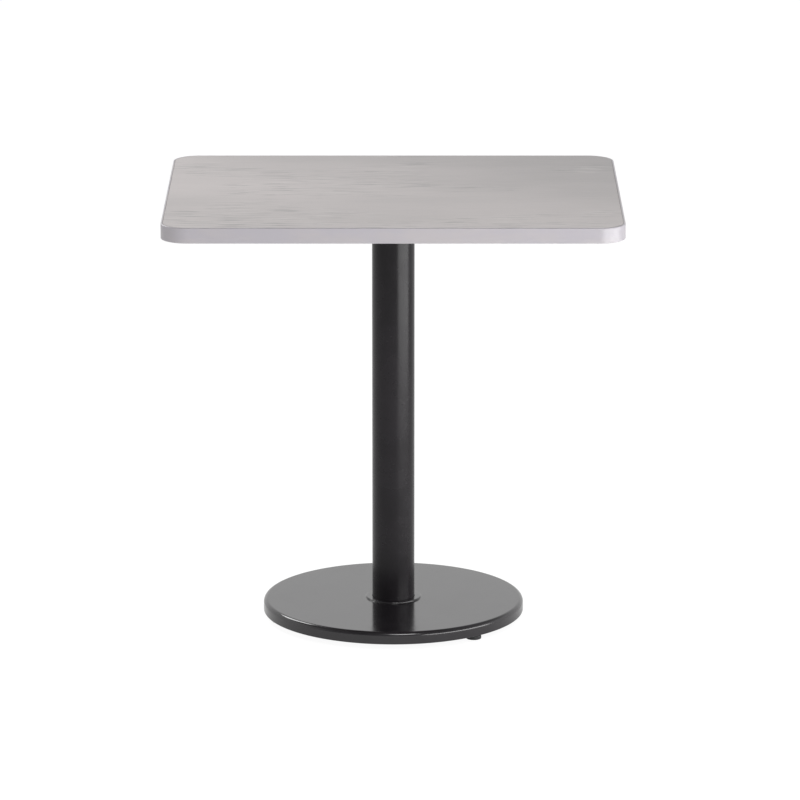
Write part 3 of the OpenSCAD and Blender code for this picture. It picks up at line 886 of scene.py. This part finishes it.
class TABLE_OT_make_top(bpy.types.Operator):
    """Finish the laminate, core board, backer sheet and edge band"""

    bl_idname = "bistro.make_top"
    bl_label = "Table Top"

    def execute(self, context):
        settings = look("table_top_look")
        plate = as_object("laminate_plate", laminate_plate(settings), "laminate_wood_look", "kraft_backer")
        settle(plate, "table", "laminate", "laminate_sheet")
        band = as_object("edge_band_strip", band_section(settings))
        apply_tree(band, shared("band_sweep", build_band_sweep), {
            "Length": (SHEET_HIGH.x - SHEET_LOW.x)*MM, "Depth": (SHEET_HIGH.y - SHEET_LOW.y)*MM,
            "Corner radius": CORE_CORNER_R*MM, "Height": BAND_LOW.z*MM, "Joint": 0.3*MM,
            "Material": material("edge_band_vinyl")})
        turn_outwards(band)
        smooth(band, 35, weighted=True)
        settle(band, "table", "edge_band", "edge_band")
        finish_node("core_board", "particle_board")
        finish_node("backer_sheet", "kraft_backer")
        return {"FINISHED"}


def turn_outwards(thing):
    """Merges an object's doubled points and points its faces outwards."""
    shell = bmesh.new()
    shell.from_mesh(thing.data)
    bmesh.ops.remove_doubles(shell, verts=shell.verts, dist=1e-7)
    bmesh.ops.recalc_face_normals(shell, faces=shell.faces)
    shell.to_mesh(thing.data)
    shell.free()


class TABLE_OT_make_column(bpy.types.Operator):
    """Make the column tube"""

    bl_idname = "bistro.make_column"
    bl_label = "Column"

    def execute(self, context):
        outer = TUBE_HIGH.x
        wall = 2.0
        path = rounded_path([
            (outer - wall, TUBE_LOW.z, 0.4), (outer, TUBE_LOW.z, 0.4),
            (outer, TUBE_HIGH.z, 0.4), (outer - wall, TUBE_HIGH.z, 0.4)], fine=15.0)
        tube = smooth(as_object("column", turned(path, 192), "column_coat"), 35, weighted=True)
        settle(tube, "table", "black_tube", "column_tube")
        return {"FINISHED"}


def base_shell(fillet):
    """The base's disc with its rim, hub, collar, seat and nut pocket, turned in one."""
    disc, rim = BASE_HIGH.x, BASE_HIGH.x - 7.0
    collar_top, seat = BASE_HIGH.z, TUBE_LOW.z
    under, foot = PLATE_UNDER_Z, BASE_LOW.z
    corners = [
        (ROD_HOLE_R, seat, 0.4), (SEAT_R, seat, 0.6), (SEAT_R, collar_top, 0.5), (47.0, collar_top, 1.2),
        (47.0, BASE_TOP_Z, 1.2), (disc, BASE_TOP_Z, 7.0), (disc, foot, 1.5), (rim, foot, 1.5),
        (rim, under, fillet), (29.0, under, fillet), (29.0, foot, 1.5), (NUT_POCKET_R, foot, 1.0),
        (NUT_POCKET_R, BASE_POCKET_Z, 1.0), (ROD_HOLE_R, BASE_POCKET_Z, 0.4)]
    return turned(rounded_path(corners, fine=8.0), 240)


def base_rib(fillet):
    """One rib under the base, from the hub into the rim, with drafted sides and flared feet."""
    under, low = PLATE_UNDER_Z, PLATE_UNDER_Z - 12.0
    half, edge = 3.5, 2.9
    side = [(half + 2*fillet, under + 1, 0), (half + 2*fillet, under + 0.15, 0),
            (half, under + 0.15, fillet), (edge, low, 1.4)]
    section = rounded_path(side + [(-x, y, r) for x, y, r in reversed(side)], fine=15.0, support=0.5)
    rib = prism(section, 24.0, BASE_HIGH.x - 4.0)
    stand_up = Matrix(((0, 0, 1, 0), (1, 0, 0, 0), (0, 1, 0, 0), (0, 0, 0, 1)))
    rib.transform(stand_up)
    return rib


def base_boss(fillet):
    """One boss under the base for a glide's bush."""
    under, foot = PLATE_UNDER_Z, BASE_LOW.z
    path = rounded_path([
        (0, foot, 0), (12.7, foot, 1.2), (13.0, under + 0.15, fillet),
        (13.0 + 2*fillet, under + 0.15, 0), (13.0 + 2*fillet, under + 1, 0), (0, under + 1, 0)],
        closed=False, fine=10.0)
    return turned(path, 72, closed=False)


def boss_bore():
    """What is bored from a boss: the bush's seat and the room for the stem's tip."""
    foot = BASE_LOW.z
    corners = [(0, foot - 2), (8.0, foot - 2), (8.0, foot), (7.2, foot + 0.6), (7.2, INSERT_TOP_Z),
               (4.15, INSERT_TOP_Z), (4.15, INSERT_TOP_Z + 1.8), (0, INSERT_TOP_Z + 1.8)]
    return turned(corners, 72, closed=False)


def round_the_base(name, piece, count, radius):
    """An object with copies of a piece round the base, the first at the first glide."""
    thing = as_object(name, piece)
    apply_tree(thing, shared("ring_of_copies", build_ring_of_copies), {
        "Count": count, "Radius": radius*MM, "First angle": GLIDE_ANGLE, "Rings": 1,
        "Ring spacing": 0.0, "Material": material("base_coat")})
    return thing


def finish_underside(base):
    """Leaves the base's hollow underside as cast, and its outside smooth."""
    base.data.materials.clear()
    for finish in ("base_coat", "coated_sand_casting"):
        base.data.materials.append(material(finish))
    inside = (BASE_HIGH.x - 5.0)*MM
    roof = (PLATE_UNDER_Z + 2.0)*MM
    for face in base.data.polygons:
        under = face.center.z < roof and face.center.xy.length < inside
        face.material_index = 1 if under else 0


class TABLE_OT_make_base(bpy.types.Operator):
    """Make the base casting, smooth on top and ribbed underneath"""

    bl_idname = "bistro.make_base"
    bl_label = "Base"

    def execute(self, context):
        fillet = look("metal_look").cast_fillet/MM
        base = as_object("base", base_shell(fillet), "base_coat", "coated_sand_casting")
        ribs = round_the_base("ribs", base_rib(fillet), 6, 0.0)
        bosses = round_the_base("bosses", base_boss(fillet), 3, GLIDE_RADIUS)
        bores = round_the_base("bores", boss_bore(), 3, GLIDE_RADIUS)
        combine(base, "UNION", ribs, bosses)
        combine(base, "DIFFERENCE", bores)
        finish_underside(base)
        smooth(base, 28, weighted=True)
        settle(base, "table", "base_coating", "base_casting")
        return {"FINISHED"}


def spider_hub():
    """The spider's hub with the column's socket and the nut's pocket."""
    outer, top, bottom = SEAT_R + 8.0, SPIDER_HIGH.z, SPIDER_LOW.z
    socket, pocket = TUBE_HIGH.z, TOP_POCKET_Z
    corners = [
        (ROD_HOLE_R, socket, 0.4), (SEAT_R, socket, 0.8), (SEAT_R, bottom, 0.8), (outer, bottom, 2.0),
        (outer, top, 0.8), (NUT_POCKET_R, top, 0.8), (NUT_POCKET_R, pocket, 1.0), (ROD_HOLE_R, pocket, 0.4)]
    return turned(rounded_path(corners, fine=10.0), 144)


def arm_outline(inset):
    """The plan of one spider arm, its sides moved in by an inset."""
    root, tip = 23.0 - inset, 15.0 - inset
    start, shoulder = 30.0, ARM_LENGTH - 15.0
    at_start = root + (tip - root)*start/ARM_LENGTH
    at_shoulder = root + (tip - root)*shoulder/ARM_LENGTH
    hub_edge = SEAT_R + 8.0
    at_hub = root + (tip - root)*hub_edge/ARM_LENGTH
    side = [(start, at_start), (hub_edge, at_hub), (shoulder, at_shoulder)]
    nose = []
    steps = 28
    for step in range(steps + 1):
        angle = math.pi/2 - math.pi*step/steps
        nose.append((ARM_LENGTH + tip*math.cos(angle), tip*math.sin(angle)))
    return side + nose + [(x, -y) for x, y in reversed(side)]


def arm_depth(x, y):
    """The height of an arm's lower edge under the top, at a distance from the column."""
    hub_edge, shoulder = SEAT_R + 8.0, ARM_LENGTH - 15.0
    share = min(max((x - hub_edge)/(shoulder - hub_edge), 0), 1)
    return -(24.0 + (9.0 - 24.0)*share)


def spider_arm(turn):
    """One channel arm of the spider, its edges eased, with its two screw holes."""
    top = SPIDER_HIGH.z
    arm = as_object("spider_arm", place(prism(arm_outline(0), arm_depth, 0), z=top))
    cavity = as_object("cavity", place(prism(arm_outline(4.5), -40, -6), z=top))
    combine(arm, "DIFFERENCE", cavity)
    ease = arm.modifiers.new("eased_edges", "BEVEL")
    ease.width = 1.1*MM
    ease.segments = 3
    ease.limit_method = "ANGLE"
    ease.angle_limit = math.radians(40)
    bake_modifiers(arm)
    hole = [(0, top - 8), (3.9, top - 8), (3.9, top - 6.0), (2.8, top - 5.2), (2.8, top + 2), (0, top + 2)]
    holes = [as_object("hole", place(turned(hole, 48, closed=False), x=ARM_LENGTH - step))
             for step in (0, SCREW_SPACING)]
    combine(arm, "DIFFERENCE", *holes)
    arm.data.transform(Matrix.Rotation(turn, 4, "Z"))
    return arm


class TABLE_OT_make_spider(bpy.types.Operator):
    """Make the spider that carries the top, and its wood screws"""

    bl_idname = "bistro.make_spider"
    bl_label = "Spider and Screws"

    def execute(self, context):
        spider = as_object("spider_bracket", spider_hub(), "coated_sand_casting")
        arms = [spider_arm(ARM_FIRST_ANGLE + arm*TAU/4) for arm in range(4)]
        combine(spider, "UNION", *arms)
        smooth(spider, 30, weighted=True)
        settle(spider, "table", "black_casting", "spider")
        screws = wood_screw()
        place_on_arms(screws)
        smooth(screws, 40)
        settle(screws, "table", "zinc_steel", "spider_screws")
        return {"FINISHED"}


def wood_screw():
    """One pan head wood screw with a cross recess, point up, its head's underside at the origin."""
    pitch = look("metal_look").screw_pitch/MM
    head = [(0, -3.2, 0), (3.0, -3.15, 3.0), (4.75, -1.9, 1.2), (4.75, 0, 0.25), (2.4, 0, 0.2), (2.4, 0.8, 0)]
    path = rounded_path(head, closed=False, fine=12.0, support=0.3)
    path += thread_rows(2.4, 1.0, 14.0, pitch)
    point_rows = 24
    path += [(2.4 - 2.1*row/point_rows, 14.0 + 4.9*row/point_rows) for row in range(1, point_rows + 1)]
    path.append((0, 19.0))
    screw = as_object("wood_screws", turned(path, 36, closed=False))
    recess = [as_object("recess", cross_blade(turn)) for turn in (0, TAU/4)]
    combine(screw, "DIFFERENCE", *recess)
    apply_tree(screw, shared("screw_thread", build_thread), {
        "Pitch": pitch*MM, "Groove": 0.75*MM, "Start": 1.6*MM, "End": 18.0*MM, "Reach": 1.0,
        "Crest": 0.3, "Material": material("zinc_plate")})
    return screw


def cross_blade(turn):
    """One tapered blade of a cross recess."""
    blade = prism([(-2.4, -0.55), (2.4, -0.55), (2.4, 0.55), (-2.4, 0.55)], -4.0, -1.4)
    for vert in blade.verts:
        if vert.co.z > -2:
            vert.co.x *= 0.45
            vert.co.y *= 0.8
    return place(blade, turn=turn)


def place_on_arms(screw):
    """Sets the wood screws on the spider's arms, two to each."""
    low = SCREW_LOW.z
    screw.data.transform(Matrix.Translation((0, 0, (low + 3.2)*MM)))
    apply_tree(screw, shared("ring_of_copies", build_ring_of_copies), {
        "Count": 4, "Radius": ARM_LENGTH*MM, "First angle": ARM_FIRST_ANGLE, "Rings": 2,
        "Ring spacing": SCREW_SPACING*MM, "Material": material("zinc_plate")})


def washer_shell(node):
    """A stamped flat washer, its outer edges rolled over by the die."""
    low, high = low_and_high(node)
    outer = high.x
    return turned(rounded_path([
        (ROD_HOLE_R, low.z, 0.2), (outer, low.z, 0.7), (outer, high.z, 0.3), (ROD_HOLE_R, high.z, 0.4)],
        fine=18.0, support=0.4), 96)


def nut_shell(node, pitch):
    """A hexagon nut, its points turned off at both faces."""
    low, high = low_and_high(node)
    bore, across = 5.1, 17.0
    point = across/math.sqrt(3)
    face, drop = 8.1, 1.1
    lead = 1.0
    steps = 6
    bevel = [(face + (point + 0.1 - face)*step/steps, low.z + drop*step/steps) for step in range(steps + 1)]
    outside = bevel + [(radius, low.z + high.z - height) for radius, height in reversed(bevel)]
    inside = thread_rows(bore, low.z + lead, high.z - lead, pitch)
    path = [(bore + 0.7, low.z), *outside, (bore + 0.7, high.z), *reversed(inside)]
    return turned(path, 96, shape=hexagon(across, low.z, high.z, 7.0))


def spring_washer_shell(node):
    """A split spring washer, clamped flat."""
    low, high = low_and_high(node)
    outer = ROD_HOLE_R + 3.6
    return turned(rounded_path([
        (ROD_HOLE_R, low.z, 0.3), (outer, low.z, 0.3), (outer, high.z, 0.3), (ROD_HOLE_R, high.z, 0.3)],
        fine=30.0, support=0.4), 90, sweep=math.radians(350))


def rod_path(pitch):
    """The tie rod's path: thread rolled on both its ends, and a plain shank between."""
    low, high = ROD_LOW.z, ROD_HIGH.z
    radius, shank, thread = 5.0, 4.6, 34.0
    lower = thread_rows(radius, low + 1, low + thread, pitch)
    upper = thread_rows(radius, high - thread, high - 1, pitch)
    return [(0, low), (4.0, low), *lower, (shank, low + thread + 0.8), (shank, high - thread - 0.8), *upper,
            (4.0, high), (0, high)]


class TABLE_OT_make_clamp(bpy.types.Operator):
    """Make the tie rod, its nuts and its washers"""

    bl_idname = "bistro.make_clamp"
    bl_label = "Tie Rod and Nuts"

    def execute(self, context):
        pitch = look("metal_look").rod_pitch/MM
        thread = shared("screw_thread", build_thread)
        rod = as_object("tie_rod_m10", turned(rod_path(pitch), 40, closed=False))
        both_ends = {"Pitch": pitch*MM, "Groove": 0.8*MM, "Reach": 1.0, "Crest": 0.85}
        ends = ((ROD_LOW.z, ROD_LOW.z + 34.0), (ROD_HIGH.z - 34.0, ROD_HIGH.z))
        for start, end in ends:
            apply_tree(rod, thread, {**both_ends, "Start": start*MM, "End": end*MM,
                                     "Material": material("rod_steel")})
        settle(smooth(rod, 50), "table", "rod_steel", "tie_rod")
        for node in ("top_nut", "base_nut"):
            low, high = low_and_high(node)
            nut = as_object(f"{node}_m10", nut_shell(node, pitch))
            apply_tree(nut, thread, {
                "Pitch": pitch*MM, "Groove": -0.6*MM, "Start": low.z*MM, "End": high.z*MM,
                "Reach": 5.5*MM, "Crest": 0.85, "Material": material("zinc_plate")})
            settle(smooth(nut, 24), "table", "zinc_steel", node)
        for node in ("top_washer", "base_washer"):
            washer = as_object(f"{node}_m10", washer_shell(node), "zinc_plate")
            settle(smooth(washer, 40, weighted=True), "table", "zinc_steel", node)
        spring = as_object("spring_washer_m10", spring_washer_shell("base_spring_washer"), "spring_steel")
        settle(smooth(spring, 40, weighted=True), "table", "spring_steel", "base_spring_washer")
        return {"FINISHED"}


def glide_spot(number):
    """The place of one glide on the floor, in millimetres."""
    angle = GLIDE_ANGLE + (number - 1)*TAU/3
    return GLIDE_RADIUS*math.cos(angle), GLIDE_RADIUS*math.sin(angle)


def pad_shell():
    """A glide's nylon pad: fluted side, dished underside and a lip that the stem's flange snaps behind."""
    top = PAD_HIGH.z
    cavity_low, cavity_high = 3.5, 5.6
    corners = [
        (0, 0.4, 0), (8.6, 0.4, 0.3), (9.0, 0, 0.3), (12.1, 0, 0.6), (13.0, 0.9, 0.5), (13.0, top, 1.5),
        (7.2, top, 0.3), (6.9, top - 0.35, 0.3), (4.3, top - 0.35, 0.3), (4.3, cavity_high, 0.2),
        (8.3, cavity_high, 0.2), (8.3, cavity_low, 0.3), (0, cavity_low, 0)]

    def fluted(angle, radius, height):
        if radius < 12.9 or not 1.0 < height < top - 1.5:
            return radius
        return radius - 0.18*max(0.0, math.cos(24*angle))**2

    path = rounded_path(corners, closed=False, fine=15.0, support=0.3)
    return turned(path, 144, closed=False, shape=fluted)


def stem_shell(pitch):
    """A glide's stem: snap flange, hexagon and M8 shank."""
    low, high = STEM_LOW.z, STEM_HIGH.z
    hex_low, hex_high, across = 7.3, 10.7, 13.0
    point = across/math.sqrt(3)
    face, drop = 6.3, 0.7
    steps = 5
    bevel = [(face + (point + 0.05 - face)*step/steps, drop*step/steps) for step in range(steps + 1)]
    flange = rounded_path([
        (0, low, 0), (8.0, low, 0.4), (8.0, low + 1.5, 0.4), (4.0, low + 1.5, 0.3), (4.0, hex_low, 0)],
        closed=False, fine=20.0, support=0.3)
    head = [(radius, hex_low + height) for radius, height in bevel]
    head += [(radius, hex_high - height) for radius, height in reversed(bevel)]
    shank = [(4.0, hex_high), (3.5, hex_high + 0.2), (3.5, hex_high + 0.7)]
    shank += thread_rows(4.0, hex_high + 1.2, high - 0.8, pitch)
    path = flange + head + shank + [(3.2, high), (0, high)]
    return turned(path, 48, closed=False, shape=hexagon(across, hex_low - 0.01, hex_high + 0.01, 6.0))


def bush_shell(pitch):
    """A brass bush, knurled where it is pressed into its boss."""
    low, high = BASE_LOW.z, INSERT_TOP_Z
    outer, bore = 7.2, 4.15
    outside = [(outer - 0.6, low), (outer - 0.15, low + 0.5), (outer - 0.15, low + 2.5), (outer, low + 2.8),
               (outer, high - 1.0), (outer - 0.5, high)]
    inside = thread_rows(bore, low + 0.8, high - 0.8, pitch)
    path = [(bore + 0.5, low), *outside, (bore + 0.5, high), *reversed(inside)]

    def knurled(angle, radius, height):
        if radius < outer - 0.01:
            return radius
        return radius - 0.15*(1 + math.cos(48*angle))

    return turned(path, 192, shape=knurled)


class TABLE_OT_make_glides(bpy.types.Operator):
    """Make the three levelling glides and the bushes that they screw into"""

    bl_idname = "bistro.make_glides"
    bl_label = "Levelling Glides"

    def execute(self, context):
        pitch = look("metal_look").stem_pitch/MM
        thread = shared("screw_thread", build_thread)
        for number in GLIDES:
            spot = glide_spot(number)
            shift = Matrix.Translation((spot[0]*MM, spot[1]*MM, 0))
            stem = as_object(f"glide_screw_{number}", stem_shell(pitch))
            apply_tree(stem, thread, {
                "Pitch": pitch*MM, "Groove": 0.65*MM, "Start": 11.4*MM, "End": 26.0*MM, "Reach": 1.0,
                "Crest": 0.85, "Material": material("zinc_plate")})
            stem.data.transform(shift)
            settle(smooth(stem, 30), f"glide_stem_{number}", "zinc_steel", f"glide_stem_{number}")
            pad = as_object(f"glide_foot_{number}", pad_shell(), "moulded_nylon")
            pad.data.transform(shift)
            settle(smooth(pad, 35), f"glide_pad_{number}", "glide_nylon", f"glide_pad_{number}")
        bushes = as_object("glide_bushes", bush_shell(pitch))
        apply_tree(bushes, thread, {
            "Pitch": pitch*MM, "Groove": -0.5*MM, "Start": BASE_LOW.z*MM, "End": INSERT_TOP_Z*MM,
            "Reach": 4.5*MM, "Crest": 0.85, "Material": material("brass_bush")})
        apply_tree(bushes, shared("ring_of_copies", build_ring_of_copies), {
            "Count": 3, "Radius": GLIDE_RADIUS*MM, "First angle": GLIDE_ANGLE, "Rings": 1,
            "Ring spacing": 0.0, "Material": material("brass_bush")})
        settle(smooth(bushes, 35), "table", "brass", "glide_inserts")
        return {"FINISHED"}


def make_floor(settings):
    """A plain pale floor that shows from above and lets a view from below through.

    Seen straight on it is lit evenly, so that only a faint shadow is left under the table.
    """
    size = settings.floor_size
    mesh = bpy.data.meshes.new("floor")
    corners = [(-size/2, -size/2, 0), (size/2, -size/2, 0), (size/2, size/2, 0), (-size/2, size/2, 0)]
    mesh.from_pydata(corners, [], [(0, 1, 2, 3)])
    floor = bpy.data.objects.new("floor", mesh)
    bpy.context.scene.collection.objects.link(floor)
    made, tree, surface, place_socket = start_material("pale_floor", Roughness=0.9, Specular_IOR_Level=0.1)
    surface.inputs["Base Color"].default_value = (0.93, 0.93, 0.93, 1)
    even = add_node(tree, "ShaderNodeEmission", {"Color": (1, 1, 1, 1), "Strength": 1.12})
    clear = tree.nodes.new("ShaderNodeBsdfTransparent")
    seen = tree.nodes.new("ShaderNodeLightPath").outputs["Is Camera Ray"]
    lifted = add_node(tree, "ShaderNodeMixShader", {
        0: maths(tree, "ADD", maths(tree, "MULTIPLY", seen, 0.44), 0.4), 1: surface.outputs[0],
        2: even.outputs[0]})
    side = tree.nodes.new("ShaderNodeNewGeometry").outputs["Backfacing"]
    mix = add_node(tree, "ShaderNodeMixShader", {0: side, 1: lifted.outputs[0], 2: clear.outputs[0]})
    tree.links.new(mix.outputs[0], tree.nodes["Material Output"].inputs[0])
    mesh.materials.append(made)


def make_sky(settings):
    """Soft white light from all round, dimmer on the camera's side and high up."""
    world = bpy.data.worlds.new("studio")
    bpy.context.scene.world = world
    world.use_nodes = True
    tree = world.node_tree
    direction = tree.nodes.new("ShaderNodeTexCoord").outputs["Generated"]
    x, y, z = add_node(tree, "ShaderNodeSeparateXYZ", {0: direction}).outputs
    from_behind = remap(tree, y, -0.75, 0.1, settings.front_sky, 1.08)
    low_down = remap(tree, z, 0.42, 0.68, 1.0, settings.high_sky)
    glow = maths(tree, "MULTIPLY", from_behind, low_down)
    seen = tree.nodes.new("ShaderNodeLightPath").outputs["Is Camera Ray"]
    level = maths(tree, "MAXIMUM", maths(tree, "MULTIPLY", glow, settings.sky), maths(tree, "MULTIPLY", seen, 1.0))
    background = tree.nodes["Background"]
    tree.links.new(level, background.inputs["Strength"])
    background.inputs["Color"].default_value = (1, 1, 1, 1)


def make_softbox(name, angle, distance, height, size, power, aim_height=0.4, softness=1.0):
    """A rectangular soft light that faces the column from an angle to the right of the front."""
    data = bpy.data.lights.new(name, "AREA")
    data.shape = "RECTANGLE"
    data.size, data.size_y = size
    data.energy = power
    data.spread = math.pi*softness
    lamp = bpy.data.objects.new(name, data)
    lamp.location = (distance*math.sin(angle), -distance*math.cos(angle), height)
    aim = Vector((0, 0, aim_height)) - lamp.location
    lamp.rotation_euler = aim.to_track_quat("-Z", "Y").to_euler()
    lamp.visible_camera = False
    bpy.context.scene.collection.objects.link(lamp)


def make_camera(settings):
    """The camera, in front of the table and looking down on it."""
    data = bpy.data.cameras.new("camera")
    data.sensor_width = 36.0
    data.lens = settings.lens
    data.clip_end = 200.0
    camera = bpy.data.objects.new("camera", data)
    camera.location = (settings.camera_side, -settings.camera_distance, settings.camera_height)
    camera.rotation_euler = (math.pi/2 - settings.camera_tilt, 0, 0)
    bpy.context.scene.collection.objects.link(camera)
    bpy.context.scene.camera = camera


class TABLE_OT_make_stage(bpy.types.Operator):
    """Set up the pale floor, the soft light and the camera"""

    bl_idname = "bistro.make_stage"
    bl_label = "Stage"

    def execute(self, context):
        settings = look("stage_settings")
        make_floor(settings)
        make_sky(settings)
        make_softbox("low_softbox", math.radians(57), 1.9, 0.27, (2.3, 0.52), 24.0, 0.27)
        make_softbox("front_softbox", math.radians(10), 2.6, 2.3, (1.1, 0.7), 36.0)
        make_softbox("back_softbox", math.radians(-132), 1.7, 1.6, (0.8, 0.8), 16.0, 0.75)
        make_camera(settings)
        context.scene.view_settings.view_transform = "Standard"
        return {"FINISHED"}


class TABLE_PT_panel(bpy.types.Panel):
    """Lists the steps that finish the table"""

    bl_idname = "TABLE_PT_panel"
    bl_label = "Bistro Table"
    bl_space_type = "VIEW_3D"
    bl_region_type = "UI"
    bl_category = "Bistro Table"

    def draw(self, context):
        for step in STEPS:
            self.layout.operator(step.bl_idname)


GROUPS = {"table_top_look": TableTopLook, "metal_look": MetalLook, "stage_settings": StageSettings}
STEPS = (TABLE_OT_make_top, TABLE_OT_make_column, TABLE_OT_make_base, TABLE_OT_make_spider,
         TABLE_OT_make_clamp, TABLE_OT_make_glides, TABLE_OT_make_stage)


def register():
    for name, group in GROUPS.items():
        bpy.utils.register_class(group)
        setattr(bpy.types.Scene, name, bpy.props.PointerProperty(type=group))
    for step in STEPS:
        bpy.utils.register_class(step)
    bpy.utils.register_class(TABLE_PT_panel)


def unregister():
    bpy.utils.unregister_class(TABLE_PT_panel)
    for step in reversed(STEPS):
        bpy.utils.unregister_class(step)
    for name, group in GROUPS.items():
        delattr(bpy.types.Scene, name)
        bpy.utils.unregister_class(group)


def main():
    register()
    bpy.ops.bistro.make_top()
    bpy.ops.bistro.make_column()
    bpy.ops.bistro.make_base()
    bpy.ops.bistro.make_spider()
    bpy.ops.bistro.make_clamp()
    bpy.ops.bistro.make_glides()
    bpy.ops.bistro.make_stage()


if __name__ == "__main__":
    main()
